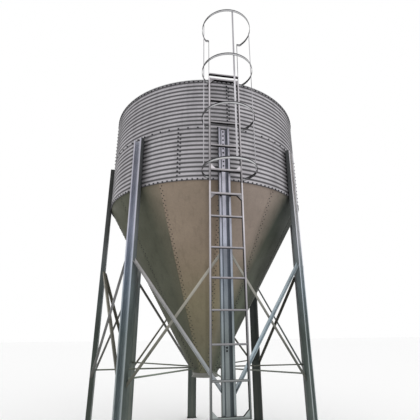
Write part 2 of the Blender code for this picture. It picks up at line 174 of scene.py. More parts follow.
def face_away(piece):
    """Settle an open sheet and make its faces look away from the tank's axis."""
    settle(piece)
    outward = sum(face.area * face.normal.xy.dot((face.center - AXIS).xy) for face in piece.data.polygons)
    if outward < 0:
        flip_faces()


def apply_modifier(piece, kind, **settings):
    pick(piece)
    bpy.ops.object.modifier_add(type=kind)
    modifier = piece.modifiers[-1]
    for setting, value in settings.items():
        setattr(modifier, setting, value)
    bpy.ops.object.modifier_apply(modifier=modifier.name)


def thicken(piece, skin, offset=-1.0):
    """Give a sheet its thickness: inward from its face, outward at an offset of 1, or both ways at 0."""
    apply_modifier(piece, "SOLIDIFY", thickness=skin, offset=offset, use_even_offset=True)


def soften(piece, width, segments=2, angle=30.0):
    """Round the sharp edges of a piece."""
    apply_modifier(piece, "BEVEL", width=width, segments=segments, limit_method="ANGLE",
                   angle_limit=math.radians(angle), harden_normals=False)


def smooth(piece, angle=35.0):
    pick(piece)
    bpy.ops.object.shade_smooth_by_angle(angle=math.radians(angle))


def turned_copy(piece, name, degrees):
    """Copy a piece with its own mesh, turned about the tank's axis to the right."""
    copy = piece.copy()
    copy.data = piece.data.copy()
    copy.name = name
    bpy.context.scene.collection.objects.link(copy)
    turn = Matrix.Rotation(math.radians(degrees), 4, "Z")
    copy.data.transform(Matrix.Translation(AXIS) @ turn @ Matrix.Translation(-AXIS))
    return copy


def ring_of_copies(first, stem, count):
    """A piece and its copies, spaced evenly round the tank's axis."""
    turn = 360.0 / count
    return [first] + [turned_copy(first, f"{stem}_{k + 1}", turn * k) for k in range(1, count)]


def paint(piece, material):
    piece.data.materials.clear()
    piece.data.materials.append(material)


def hand_over(piece, slot, *nodes):
    """Give a finished piece its body, and hide the CAD nodes that it stands for; the slot is not used."""
    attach(piece, "root")
    if nodes:
        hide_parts(*nodes)


def add_node(tree, kind, inputs=None, **settings):
    """Add a shader node; inputs maps its sockets to values or to other nodes' outputs."""
    node = tree.nodes.new(kind)
    for setting, value in settings.items():
        setattr(node, setting, value)
    for socket, value in (inputs or {}).items():
        if isinstance(value, bpy.types.NodeSocket):
            tree.links.new(value, node.inputs[socket])
        else:
            node.inputs[socket].default_value = value
    return node


def mix_colors(tree, factor, first, second, blend_type="MIX"):
    inputs = {0: factor, 6: first, 7: second}
    return add_node(tree, "ShaderNodeMix", inputs, data_type="RGBA", blend_type=blend_type).outputs[2]


def noise(tree, place, scale, detail=3.0, roughness=0.55, stretch=(1.0, 1.0, 1.0)):
    stretched = add_node(tree, "ShaderNodeMapping", {"Vector": place, "Scale": stretch})
    cloud = add_node(tree, "ShaderNodeTexNoise", {
        "Vector": stretched.outputs["Vector"], "Scale": scale, "Detail": detail, "Roughness": roughness})
    return cloud.outputs["Fac"]


def spread(tree, value, low, high, new_low=0.0, new_high=1.0):
    """Stretch a value from one range to another, and hold it there."""
    node = add_node(tree, "ShaderNodeMapRange", {
        "Value": value, "From Min": low, "From Max": high, "To Min": new_low, "To Max": new_high})
    return node.outputs["Result"]


def ramp(tree, value, low, high, stops):
    """Blend colours along a value; each stop is a place between low and high, and its colour."""
    node = add_node(tree, "ShaderNodeValToRGB", {"Fac": spread(tree, value, low, high)})
    elements = node.color_ramp.elements
    for place, color in stops:
        elements.new((place - low) / (high - low)).color = (*color, 1.0)
    elements.remove(elements[0])
    elements.remove(elements[-1])
    return node.outputs["Color"]


def calculate(tree, operation, first, second=0.0):
    return add_node(tree, "ShaderNodeMath", {0: first, 1: second}, operation=operation).outputs["Value"]


def vector_math(tree, operation, first, second=(0.0, 0.0, 0.0)):
    return add_node(tree, "ShaderNodeVectorMath", {0: first, 1: second}, operation=operation).outputs


def from_axis(tree):
    """The place of a point, measured from the foot of the tank's axis."""
    place = add_node(tree, "ShaderNodeTexCoord").outputs["Object"]
    return vector_math(tree, "SUBTRACT", place, AXIS)["Vector"]


def split_place(tree):
    """How far a point is across from the tank's axis, behind it, and above the ground."""
    split = add_node(tree, "ShaderNodeSeparateXYZ", {"Vector": from_axis(tree)})
    return split.outputs["X"], split.outputs["Y"], split.outputs["Z"]


def azimuth_of(tree, across, depth):
    """The angle in degrees to the right of the front."""
    angle = calculate(tree, "ARCTAN2", across, calculate(tree, "MULTIPLY", depth, -1.0))
    return calculate(tree, "MULTIPLY", angle, math.degrees(1.0))


def facing_out(tree):
    """How squarely a face looks away from the tank's axis: 1 straight out, 0 sideways, -1 inward."""
    flat = vector_math(tree, "MULTIPLY", from_axis(tree), (1.0, 1.0, 0.0))["Vector"]
    outward = vector_math(tree, "NORMALIZE", flat)["Vector"]
    normal = add_node(tree, "ShaderNodeNewGeometry").outputs["Normal"]
    return vector_math(tree, "DOT_PRODUCT", outward, normal)["Value"]


def tint(material, color):
    """Multiply a material's base colour by another colour."""
    tree = material.node_tree
    base = tree.nodes["Principled BSDF"].inputs["Base Color"]
    tree.links.new(mix_colors(tree, 1.0, base.links[0].from_socket, color, "MULTIPLY"), base)


def tint_up(material, low, high, stops):
    """Multiply a material's base colour by colours that change with the height above the ground."""
    tree = material.node_tree
    tint(material, ramp(tree, split_place(tree)[2], low, high, stops))


def darker(color, share):
    return tuple(channel * share for channel in color) + (1.0,)


def zinc_material(name, light, dark, underside_shade=0.45, side=1.0,
                  metallic=0.35, roughness=0.45, crystal=0.012):
    """Weathered zinc on steel: fine crystals, cloudy patches, rain streaks, and painted shade on sides and
    undersides.
    """
    material = bpy.data.materials.new(name)
    material.use_nodes = True
    tree = material.node_tree
    shader = tree.nodes["Principled BSDF"]
    place = add_node(tree, "ShaderNodeTexCoord").outputs["Object"]

    patches = spread(tree, noise(tree, place, PATCH_SCALE, 5.0), 0.35, 0.68)
    color = mix_colors(tree, patches, (*dark, 1.0), (*light, 1.0))
    crystals = add_node(tree, "ShaderNodeTexVoronoi", {"Vector": place, "Scale": 1 / crystal})
    tone = add_node(tree, "ShaderNodeSeparateColor", {"Color": crystals.outputs["Color"]})
    crystal_share = spread(tree, tone.outputs["Red"], 0.0, 1.0, 0.0, CRYSTAL_SHARE)
    color = mix_colors(tree, crystal_share, color, darker(dark, CRYSTAL_DARK))
    runs = noise(tree, place, STREAK_SCALE, 3.0, 0.6, STREAK_STRETCH)
    color = mix_colors(tree, spread(tree, runs, 0.52, 0.75, 0.0, STREAK_SHARE), color,
                       darker(dark, STREAK_DARK))
    # Painted shade: faces that look down are darkened to the underside share, and faces that look sideways to
    # the side share.
    normal = add_node(tree, "ShaderNodeSeparateXYZ", {
        "Vector": add_node(tree, "ShaderNodeNewGeometry").outputs["Normal"]})
    painted_underside_shade = spread(tree, normal.outputs["Z"], -0.35, 0.1, underside_shade, 1.0)
    color = mix_colors(tree, 1.0, color, painted_underside_shade, "MULTIPLY")
    painted_side_shade = spread(tree, facing_out(tree), 0.3, 0.75, side, 1.0)
    color = mix_colors(tree, 1.0, color, painted_side_shade, "MULTIPLY")
    tree.links.new(color, shader.inputs["Base Color"])

    gloss = spread(tree, patches, 0.0, 1.0, roughness + 0.12, roughness - 0.06)
    tree.links.new(gloss, shader.inputs["Roughness"])
    shader.inputs["Metallic"].default_value = metallic
    shader.inputs["Specular IOR Level"].default_value = 0.25
    relief = calculate(tree, "ADD", noise(tree, place, GRAIN_SCALE, 2.0), crystals.outputs["Distance"])
    bump = add_node(tree, "ShaderNodeBump", {"Height": relief, "Strength": 0.12, "Distance": 0.001})
    tree.links.new(bump.outputs["Normal"], shader.inputs["Normal"])
    return material


def wave_radius(height):
    phase = 2 * math.pi * (height - FIRST_CREST) / WAVE_PITCH
    return CREST_RADIUS - WAVE_DEPTH * (1 - math.cos(phase)) / 2


def press_sheet(name, bottom, top, tucked_above, left_edge, degrees):
    """Draw a sheet's waves, roll it to the right, and tuck its far end under the next sheet."""
    rows = round((top - bottom) / WAVE_PITCH * POINTS_PER_WAVE)
    outline = []
    for row in range(rows + 1):
        height = bottom + (top - bottom) * row / rows
        tuck = LAP_TUCK if height > tucked_above else 0.0
        outline.append((wave_radius(height) - tuck, height))
    sheet = draw_profile(name, outline, left_edge)
    sweep(degrees - LAP_STEP, max(2, round(degrees / SHEET_STEP)))
    sweep(LAP_STEP, 1)
    inward = 1 - LAP_TUCK / CREST_RADIUS
    bpy.ops.transform.resize(value=(inward, inward, 1.0), center_override=AXIS)
    sweep(LAP_WIDTH, 2)
    face_away(sheet)
    thicken(sheet, SHEET_SKIN)
    smooth(sheet, 50.0)
    return sheet


def shade_wall(material):
    """Paint the legs' shadows on the lower ring beside each leg, deeper at the sides than at the front."""
    tree = material.node_tree
    across, depth, height = split_place(tree)
    azimuth = azimuth_of(tree, across, depth)
    turn = calculate(tree, "ADD", azimuth, LEG_SPACING / 2)
    turn = calculate(tree, "SUBTRACT", calculate(tree, "FLOORED_MODULO", turn, LEG_SPACING), LEG_SPACING / 2)
    beside = spread(tree, calculate(tree, "ABSOLUTE", turn), *WALL_SHADE_WIDTH, 1.0, 0.0)
    low = spread(tree, height, *WALL_SHADE_TOP, 1.0, 0.0)
    strength = spread(tree, calculate(tree, "ABSOLUTE", azimuth), *WALL_SHADE_SIDES, *WALL_SHADE_DEPTHS)
    shade = calculate(tree, "MULTIPLY", calculate(tree, "MULTIPLY", beside, low), strength)
    tint(material, calculate(tree, "SUBTRACT", 1.0, shade))


# The corrugations' light and dark bands come from painted shade on their down-facing flanks.
wall_steel = zinc_material("galvanised_wall", (0.54, 0.52, 0.55), (0.43, 0.415, 0.44), underside_shade=0.19)
shade_wall(wall_steel)

lower_sheet = press_sheet("wall_sheet_lower_1", WALL_BOTTOM, RING_LAP_HIGH, RING_TUCK_LOW,
                          LOWER_SEAM, SHEET_SPAN)
upper_sheet = press_sheet("wall_sheet_upper_1", RING_LAP_LOW, WALL_TOP, WALL_TOP,
                          INFILL_SEAM, SHEET_SPAN + UPPER_SEAM - INFILL_SEAM)
infill_sheet = press_sheet("wall_infill_1", RING_LAP_LOW, WALL_TOP, WALL_TOP,
                           UPPER_SEAM, INFILL_SEAM - UPPER_SEAM)
for first, stem, node in (
        (lower_sheet, "wall_sheet_lower", "wall_ring_lower"),
        (upper_sheet, "wall_sheet_upper", "wall_ring_upper"),
        (infill_sheet, "wall_infill", "wall_ring_upper")):
    for sheet in ring_of_copies(first, stem, SHEETS_ROUND):
        paint(sheet, wall_steel)
        hand_over(sheet, "wall", node)


# Wall bolts. Zinc-plated hex heads on dark rubber-faced washers, set on the crests round the foot, the
# ring lap and the rim, and in two staggered columns through each upright lap.
BOLT_SIDES = 6
BOLT_ACROSS = 0.019
BOLT_HEIGHT = 0.0075
BOLT_CHAMFER = 0.0012
WASHER_SIDES = 10
WASHER_ACROSS = 0.028
WASHER_HEIGHT = 0.0025
BOLT_PITCH = 2.5
BOLTS_ROUND = round(360.0 / BOLT_PITCH)
LAP_BOLTS_NEAR = 0.65
LAP_BOLTS_FAR = 1.8
WALL_BOLT_ROWS = (
    ("wall_bolts_foot", 0, 1),
    ("wall_bolts_seam", RING_CRESTS, 2),
    ("wall_bolts_rim", 2 * RING_CRESTS, 1),
)


def join_pieces(name, pieces):
    deselect_all()
    for piece in pieces:
        piece.select_set(True)
    bpy.context.view_layer.objects.active = pieces[0]
    bpy.ops.object.join()
    whole = bpy.context.object
    whole.name = name
    return whole


def bolt_template(name):
    """A hex head with a chamfered top, on a round washer, facing up from the origin."""
    deselect_all()
    bpy.ops.mesh.primitive_cylinder_add(vertices=WASHER_SIDES, radius=WASHER_ACROSS / 2, depth=WASHER_HEIGHT,
                                        location=(0, 0, WASHER_HEIGHT / 2))
    washer = bpy.context.object
    paint(washer, washer_rubber)
    deselect_all()
    bpy.ops.mesh.primitive_cylinder_add(vertices=BOLT_SIDES, radius=BOLT_ACROSS / math.sqrt(3),
                                        depth=BOLT_HEIGHT, location=(0, 0, WASHER_HEIGHT + BOLT_HEIGHT / 2))
    head = bpy.context.object
    paint(head, bolt_zinc)
    bpy.ops.object.mode_set(mode="EDIT")
    bpy.ops.mesh.select_all(action="DESELECT")
    bpy.ops.object.mode_set(mode="OBJECT")
    for face in head.data.polygons:
        face.select = face.normal.z > 0.9
    bpy.ops.object.mode_set(mode="EDIT")
    bpy.ops.mesh.inset(thickness=BOLT_CHAMFER, depth=BOLT_CHAMFER)
    bpy.ops.object.mode_set(mode="OBJECT")
    whole = join_pieces(name, [head, washer])
    settle(whole)
    return whole


def set_bolts(name, places, slot, scale=1.0):
    """Copy the bolt to each point, looking along each outward direction, and join the copies."""
    copies = []
    for point, outward in places:
        copy = bolt.copy()
        copy.data = bolt.data.copy()
        turn = outward.to_track_quat("Z", "Y").to_matrix().to_4x4()
        copy.matrix_world = Matrix.Translation(point) @ turn @ Matrix.Scale(scale, 4)
        bpy.context.scene.collection.objects.link(copy)
        copies.append(copy)
    row = join_pieces(name, copies)
    settle(row)
    hand_over(row, slot)


def lap_columns(left_edge, first_row, last_row):
    """Bolts on the crests and in the valleys just right of a sheet's left edge."""
    places = []
    for row in range(2 * first_row, 2 * last_row + 1):
        height = FIRST_CREST + WAVE_PITCH * row / 2
        azimuth = left_edge + (LAP_BOLTS_NEAR if row % 2 == 0 else LAP_BOLTS_FAR)
        places.append((on_ring(wave_radius(height), azimuth, height), outward_at(azimuth)))
    return places


# The bolt heads are near-black, darker than plated zinc: partly their own dull finish, partly painted shade
# for the shadow round each head.
bolt_zinc = zinc_material("bolt_zinc", (0.07, 0.07, 0.08), (0.04, 0.04, 0.05), underside_shade=0.4, crystal=0.004)
washer_rubber = zinc_material("washer_rubber", (0.05, 0.05, 0.055), (0.025, 0.025, 0.03),
                              underside_shade=0.6, metallic=0.0, roughness=0.7, crystal=0.003)
bolt = bolt_template("bolt")

for name, row, every in WALL_BOLT_ROWS:
    height = FIRST_CREST + WAVE_PITCH * row
    places = []
    for k in range(0, BOLTS_ROUND, every):
        azimuth = BOLT_PITCH * (k + every - 1)
        on_leg = azimuth % LEG_SPACING == 0.0
        if not (on_leg and row <= RING_CRESTS):
            places.append((on_ring(CREST_RADIUS, azimuth, height), outward_at(azimuth)))
    set_bolts(name, places, "wall")
for k in range(SHEETS_ROUND):
    turn = SHEET_SPAN * k
    set_bolts(f"wall_bolts_lower_{k + 1}", lap_columns(LOWER_SEAM + turn, 1, RING_CRESTS - 1), "wall")
    upper = lap_columns(UPPER_SEAM + turn, RING_CRESTS + 1, 2 * RING_CRESTS - 1)
    upper += lap_columns(INFILL_SEAM + turn, RING_CRESTS + 1, 2 * RING_CRESTS - 1)
    set_bolts(f"wall_bolts_upper_{k + 1}", upper, "wall")


# Hopper cone. Twelve flat-rolled steel panels, lapped and bolted in two staggered columns along each
# seam, and hung on an upright flange inside the foot of the wall.
CONE_SLOPE = math.radians(60.54)
CONE_RIM_RADIUS = 1.8170
CONE_RIM_HEIGHT = 3.9195
CONE_FOOT_HEIGHT = 1.086
CONE_FLANGE_TOP = 3.985
CONE_PANELS = 12
CONE_SEAM = -2.5
PANEL_WIDTH = 360.0 / CONE_PANELS
PANEL_ROWS = 12
PANEL_STEPS = 16
PANEL_SKIN = 0.003
PANEL_TUCK = 0.0036
PANEL_LAP = 1.6
SEAM_LENGTH = (CONE_RIM_HEIGHT - CONE_FOOT_HEIGHT) / math.sin(CONE_SLOPE)
SEAM_BOLT_PITCH = 0.078
SEAM_BOLT_EDGE = 0.018
SEAM_BOLT_GAUGE = 0.030
SEAM_BOLT_SCALE = 0.65
HOPPER_TONE_LOW = 1.0
HOPPER_TONE_HIGH = 4.0
# Painted light and reflection on the cone's front, painted shade beside it and towards the right edge, and a
# lit patch by the left seam.
HOPPER_LIT_FRONT_TONES = (
    (1.1, (0.145, 0.146, 0.100)),
    (1.8, (0.182, 0.161, 0.107)),
    (2.2, (0.222, 0.194, 0.127)),
    (2.7, (0.247, 0.199, 0.142)),
    (3.1, (0.275, 0.218, 0.165)),
    (3.7, (0.257, 0.205, 0.158)),
)
HOPPER_COOL_TONE = (1.03, 1.06, 1.18)
HOPPER_COOL_FROM = (2.0, 12.0)
HOPPER_SHADED_LEFT_TONE = (0.092, 0.095, 0.070)
HOPPER_RIGHT_FROM = (15.0, 40.0)
HOPPER_SHADED_RIGHT_TONES = (
    (1.1, (0.112, 0.127, 0.096)),
    (2.2, (0.112, 0.127, 0.096)),
    (2.7, (0.086, 0.091, 0.074)),
    (3.1, (0.057, 0.063, 0.048)),
    (3.8, (0.043, 0.052, 0.043)),
)
HOPPER_RIGHT_EDGE_SHADE = (
    (39.0, (1.0, 1.0, 1.0)),
    (47.0, (0.66, 0.66, 0.66)),
    (53.0, (0.57, 0.57, 0.57)),
    (62.0, (0.52, 0.52, 0.52)),
    (78.0, (0.52, 0.52, 0.52)),
    (100.0, (1.0, 1.0, 1.0)),
)
LIT_LEFT_EDGE = (-32.8, -32.2)
LIT_RIGHT_EDGE = (25.5, 41.5)
LIT_RIGHT_SLANT = 8.5
LIT_RIGHT_PIVOT = 3.6
LIT_PATCH_AZIMUTHS = (-43.0, -33.0)
LIT_PATCH_HEIGHTS = (3.2, 3.8)
LIT_PATCH_SHARES = (0.15, 0.62)
# Painted shadow of the front leg on the cone, in a narrow strip beside it.
LEG_SHADOW_AZIMUTH = -4.5
LEG_SHADOW_WIDTH = (2.5, 5.0)
LEG_SHADOW_TONE = 0.85


def cone_radius(height):
    return CONE_RIM_RADIUS - (CONE_RIM_HEIGHT - height) / math.tan(CONE_SLOPE)


def roll_panel(name, left_edge, degrees):
    """Draw a panel's slope and flange, roll it to the right, and tuck its far end under the next panel."""
    outline = []
    for row in range(PANEL_ROWS + 1):
        height = CONE_FOOT_HEIGHT + (CONE_RIM_HEIGHT - CONE_FOOT_HEIGHT) * row / PANEL_ROWS
        outline.append((cone_radius(height), height))
    outline.append((CONE_RIM_RADIUS, CONE_FLANGE_TOP))
    panel = draw_profile(name, outline, left_edge)
    sweep(degrees - LAP_STEP, PANEL_STEPS)
    sweep(LAP_STEP, 1)
    inward = AXIS - on_ring(PANEL_TUCK * math.sin(CONE_SLOPE), left_edge + degrees, 0.0)
    bpy.ops.transform.translate(value=inward + Vector((0, 0, PANEL_TUCK * math.cos(CONE_SLOPE))))
    sweep(PANEL_LAP, 2)
    face_away(panel)
    thicken(panel, PANEL_SKIN)
    smooth(panel)
    return panel


def lit_share(tree, azimuth, height):
    """How far a point of the cone is lit: full at the front, with a soft slanting edge to the right."""
    left = spread(tree, azimuth, *LIT_LEFT_EDGE)
    near_seam = spread(tree, azimuth, *LIT_PATCH_AZIMUTHS)
    patch = calculate(tree, "MULTIPLY", near_seam, spread(tree, height, *LIT_PATCH_HEIGHTS, *LIT_PATCH_SHARES))
    slant = calculate(tree, "MULTIPLY", calculate(tree, "SUBTRACT", LIT_RIGHT_PIVOT, height), LIT_RIGHT_SLANT)
    right = spread(tree, calculate(tree, "ADD", azimuth, slant), *LIT_RIGHT_EDGE, 1.0, 0.0)
    return calculate(tree, "MULTIPLY", calculate(tree, "MAXIMUM", left, patch), right)


def shade_hopper(material):
    """Paint the panels' light and shade as they face: a lit warm taupe front, turning olive lower down,
    painted shade in green-grey beside, deeper towards the right edge, and the front leg's painted shadow.
    """
    tree = material.node_tree
    across, depth, height = split_place(tree)
    azimuth = azimuth_of(tree, across, depth)
    front = ramp(tree, height, HOPPER_TONE_LOW, HOPPER_TONE_HIGH, HOPPER_LIT_FRONT_TONES)
    cool = mix_colors(tree, spread(tree, azimuth, *HOPPER_COOL_FROM), WHITE, (*HOPPER_COOL_TONE, 1.0))
    right = mix_colors(tree, 1.0, ramp(tree, height, HOPPER_TONE_LOW, HOPPER_TONE_HIGH, HOPPER_SHADED_RIGHT_TONES),
                       ramp(tree, azimuth, 0.0, 180.0, HOPPER_RIGHT_EDGE_SHADE), "MULTIPLY")
    beside = mix_colors(tree, spread(tree, azimuth, *HOPPER_RIGHT_FROM), (*HOPPER_SHADED_LEFT_TONE, 1.0), right)
    color = mix_colors(tree, lit_share(tree, azimuth, height), beside,
                       mix_colors(tree, 1.0, front, cool, "MULTIPLY"))
    # Painted shadow of the front leg across the panels.
    from_leg = calculate(tree, "ABSOLUTE", calculate(tree, "SUBTRACT", azimuth, LEG_SHADOW_AZIMUTH))
    leg_shadow = spread(tree, from_leg, *LEG_SHADOW_WIDTH, LEG_SHADOW_TONE, 1.0)
    tint(material, mix_colors(tree, 1.0, color, leg_shadow, "MULTIPLY"))


cone_steel = zinc_material("hopper_plate", (1.12, 1.12, 1.12), (0.98, 0.98, 0.98),
                           underside_shade=1.0, metallic=0.0, roughness=0.6, crystal=0.02)
cone_steel.node_tree.nodes["Principled BSDF"].inputs["Specular IOR Level"].default_value = 0.1
shade_hopper(cone_steel)
first_panel = roll_panel("hopper_panel_1", CONE_SEAM, PANEL_WIDTH)
for panel in ring_of_copies(first_panel, "hopper_panel", CONE_PANELS):
    paint(panel, cone_steel)
    hand_over(panel, "hopper", "hopper_cone")

for k in range(CONE_PANELS):
    seam = CONE_SEAM + PANEL_WIDTH * k
    places = []
    for row in range(1, int(SEAM_LENGTH / SEAM_BOLT_PITCH * 2)):
        height = CONE_RIM_HEIGHT - row * SEAM_BOLT_PITCH / 2 * math.sin(CONE_SLOPE)
        across = SEAM_BOLT_EDGE + (SEAM_BOLT_GAUGE if row % 2 else 0.0)
        azimuth = seam + math.degrees(across / cone_radius(height))
        places.append((on_ring(cone_radius(height), azimuth, height),
                       outward_at(azimuth, math.degrees(CONE_SLOPE) - 90.0)))
    set_bolts(f"hopper_bolts_{k + 1}", places, "hopper", SEAM_BOLT_SCALE)


# Outlet collar. A short welded steel ring under the cone, with a flange turned out at its foot for
# bolting on.
COLLAR_TOP = 1.0857
COLLAR_BOTTOM = 1.0157
COLLAR_RADIUS = 0.2167
COLLAR_SKIN = 0.0095
COLLAR_FLANGE = 0.016
COLLAR_FLANGE_HEIGHT = 0.008
COLLAR_INSIDE = COLLAR_RADIUS - COLLAR_SKIN
COLLAR_FLANGE_RADIUS = COLLAR_RADIUS + COLLAR_FLANGE
COLLAR_FLANGE_TOP = COLLAR_BOTTOM + COLLAR_FLANGE_HEIGHT
COLLAR_EDGE = 0.0015
ROUND_STEPS = 96
WELD_GAP = 0.0002


def spin_round():
    """Spin the selected line all the way round the tank's axis and join it up."""
    sweep(360.0, ROUND_STEPS)
    bpy.ops.mesh.select_all(action="SELECT")
    bpy.ops.mesh.remove_doubles(threshold=WELD_GAP)


def turn_ring(name, outline):
    """Turn a closed outline of radii and heights into a ring with softened edges."""
    ring = draw_profile(name, outline)
    bpy.ops.mesh.select_all(action="SELECT")
    bpy.ops.mesh.remove_doubles(threshold=WELD_GAP)
    bpy.ops.mesh.select_all(action="SELECT")
    spin_round()
    bpy.ops.mesh.normals_make_consistent(inside=False)
    settle(ring)
    soften(ring, COLLAR_EDGE)
    smooth(ring)
    return ring


collar_steel = zinc_material("collar_steel", (0.27, 0.27, 0.25), (0.20, 0.20, 0.18), underside_shade=0.6)
collar = turn_ring("outlet_ring", (
    (COLLAR_INSIDE, COLLAR_BOTTOM),
    (COLLAR_FLANGE_RADIUS, COLLAR_BOTTOM),
    (COLLAR_FLANGE_RADIUS, COLLAR_FLANGE_TOP),
    (COLLAR_RADIUS, COLLAR_FLANGE_TOP),
    (COLLAR_RADIUS, COLLAR_TOP),
    (COLLAR_INSIDE, COLLAR_TOP),
    (COLLAR_INSIDE, COLLAR_BOTTOM),
))
paint(collar, collar_steel)
hand_over(collar, "hopper", "outlet_collar")


# Roof. Twenty-four galvanised panels rising at thirty degrees from the rim to the filler hole, with a
# folded rib over every joint and a drip edge turned down at the eave.
ROOF_SLOPE = math.radians(30.0)
ROOF_EAVE_RADIUS = 1.842
ROOF_EAVE_HEIGHT = 5.7665
ROOF_DRIP = 0.014
ROOF_HOLE_RADIUS = 0.301
ROOF_PANELS = 24
ROOF_ROWS = 6
ROOF_STEPS = 4
ROOF_JOINT = 0.02
ROOF_SKIN = 0.0015
RIB_WIDTH = 0.026
RIB_HEIGHT = 0.018
RIB_FLANGE = 0.014
RIB_CROWN = 0.6
RIB_LIFT = 0.0002
RIB_EDGE = 0.002
RIB_LOW_RADIUS = 1.72
RIB_HIGH_RADIUS = 0.34


def roof_height(radius):
    return ROOF_EAVE_HEIGHT + (ROOF_EAVE_RADIUS - radius) * math.tan(ROOF_SLOPE)


def roof_panel(name):
    outline = [(ROOF_EAVE_RADIUS, ROOF_EAVE_HEIGHT - ROOF_DRIP)]
    for row in range(ROOF_ROWS + 1):
        radius = ROOF_EAVE_RADIUS + (ROOF_HOLE_RADIUS - ROOF_EAVE_RADIUS) * row / ROOF_ROWS
        outline.append((radius, roof_height(radius)))
    panel = draw_profile(name, outline)
    sweep(360.0 / ROOF_PANELS - ROOF_JOINT, ROOF_STEPS)
    face_away(panel)
    thicken(panel, ROOF_SKIN)
    smooth(panel)
    return panel


def roof_rib(name):
    """A folded hat section, drawn across the eave end and extruded up the slope."""
    start = on_ring(RIB_LOW_RADIUS, 0.0, roof_height(RIB_LOW_RADIUS) + RIB_LIFT)
    end = on_ring(RIB_HIGH_RADIUS, 0.0, roof_height(RIB_HIGH_RADIUS) + RIB_LIFT)
    up = outward_at(0.0, 60.0)
    side = Vector((1, 0, 0))
    half = RIB_WIDTH / 2
    outline = (
        (-half - RIB_FLANGE, 0.0),
        (-half, 0.0),
        (-half * RIB_CROWN, RIB_HEIGHT),
        (half * RIB_CROWN, RIB_HEIGHT),
        (half, 0.0),
        (half + RIB_FLANGE, 0.0),
    )
    rib = draw_line(name, [start + side * x + up * z for x, z in outline])
    bpy.ops.mesh.extrude_region_move(TRANSFORM_OT_translate={"value": end - start})
    settle(rib)
    if sum(face.normal.z * face.area for face in rib.data.polygons) < 0:
        flip_faces()
    thicken(rib, ROOF_SKIN, 1.0)
    soften(rib, RIB_EDGE)
    smooth(rib)
    return rib


roof_steel = zinc_material("galvanised_roof", (0.55, 0.55, 0.56), (0.42, 0.42, 0.43), underside_shade=0.6)
first_panel = roof_panel("roof_panel_1")
first_rib = roof_rib("roof_rib_1")
for first, stem in ((first_panel, "roof_panel"), (first_rib, "roof_rib")):
    for piece in ring_of_copies(first, stem, ROOF_PANELS):
        paint(piece, roof_steel)
        hand_over(piece, "roof", "roof_cone")


# Filler neck and lid. A rolled steel collar stands in the roof's centre hole, and a shallow pressed lid
# with a turned-down skirt sits over it.
NECK_RADIUS = 0.2997
NECK_SKIN = 0.010
NECK_INSIDE = NECK_RADIUS - NECK_SKIN
NECK_BOTTOM = 6.6137
NECK_TOP = 6.8037
LID_RADIUS = 0.3060
LID_SKIRT_BOTTOM = 6.7537
LID_AIR = 0.0003
LID_FOLD = 0.006
LID_TOP = NECK_TOP + LID_AIR + LID_FOLD
LID_SKIN = 0.002
LID_RISE = 0.035
LID_CROWN_RADIUS = 0.051
LID_PRESSING = (
    (0.80, 0.004),
    (0.76, 0.010),
    (0.40, 0.026),
)

neck = turn_ring("filler_collar", (
    (NECK_INSIDE, NECK_BOTTOM),
    (NECK_RADIUS, NECK_BOTTOM),
    (NECK_RADIUS, NECK_TOP),
    (NECK_INSIDE, NECK_TOP),
    (NECK_INSIDE, NECK_BOTTOM),
))
paint(neck, roof_steel)
hand_over(neck, "roof", "filler_neck")

lid_outline = [
    (LID_RADIUS, LID_SKIRT_BOTTOM),
    (LID_RADIUS, LID_TOP - LID_FOLD),
    (LID_RADIUS - LID_FOLD, LID_TOP),
]
lid_outline += [(LID_RADIUS * share, LID_TOP + rise) for share, rise in LID_PRESSING]
lid_outline += [(LID_CROWN_RADIUS, LID_TOP + LID_RISE), (0.0, LID_TOP + LID_RISE)]
lid = draw_profile("filler_cover", lid_outline)
spin_round()
face_away(lid)
thicken(lid, LID_SKIN)
smooth(lid)
paint(lid, roof_steel)
hand_over(lid, "roof", "filler_lid")


# Legs. Eight channels folded from galvanised plate, with turned-in lips and a pressed groove down the
# web, through which they are bolted to the wall's crests; each stands on a welded foot plate.
LEG_NAMES = ("front", "front_right", "right", "back_right", "back", "back_left", "left", "front_left")
LEG_WIDTH = 0.178
LEG_LIP = 0.032
LEG_SKIN = 0.004
LEG_BACK = 1.83332
LEG_FRONT = 1.91132
LEG_GROOVE_DEPTH = 0.005
LEG_GROOVE_WIDTH = 0.050
LEG_GROOVE_FLARE = 0.010
LEG_TOP = 4.795
LEG_FOLD = 0.006
LEG_FIRST_CREST = 2
LEG_LOW_BOLTS = [1.515, 1.555]
FOOT_WIDTH = 0.200
FOOT_DEPTH = 0.100
FOOT_HEIGHT = 0.012
FOOT_REACH = 1.92132
FOOT_EDGE = 0.0015
LIP, GROOVE, WEB, INSIDE, SIDE = range(5)
# Five lit and shaded copies of one leg steel, one to each face: painted light on the lips, groove and inside,
# painted shade on the web and the outer sides; the last colour of each row is painted light on the
# front-right leg.
LEG_STEELS = (
    ("galvanised_leg_lip", (0.56, 0.55, 0.59), (0.46, 0.46, 0.50), (1.42, 1.40, 1.30)),
    ("galvanised_leg_groove", (0.68, 0.67, 0.71), (0.58, 0.57, 0.61), (1.55, 1.50, 1.30)),
    ("galvanised_leg_web_painted_shade", (0.20, 0.21, 0.24), (0.15, 0.16, 0.18), (1.0, 1.0, 1.0)),
    ("galvanised_leg_inside", (0.50, 0.52, 0.56), (0.42, 0.44, 0.48), (1.50, 1.43, 1.22)),
    ("galvanised_leg_side_painted_shade", (0.185, 0.195, 0.19), (0.125, 0.135, 0.13), (1.25, 1.25, 1.25)),
)
LEG_TONES = (
    (0.1, (0.64, 0.72, 0.68)),
    (1.7, (0.57, 0.66, 0.63)),
    (2.4, (0.75, 0.86, 0.93)),
    (3.2, (1.05, 1.08, 1.18)),
    (4.2, (0.95, 0.94, 1.00)),
)
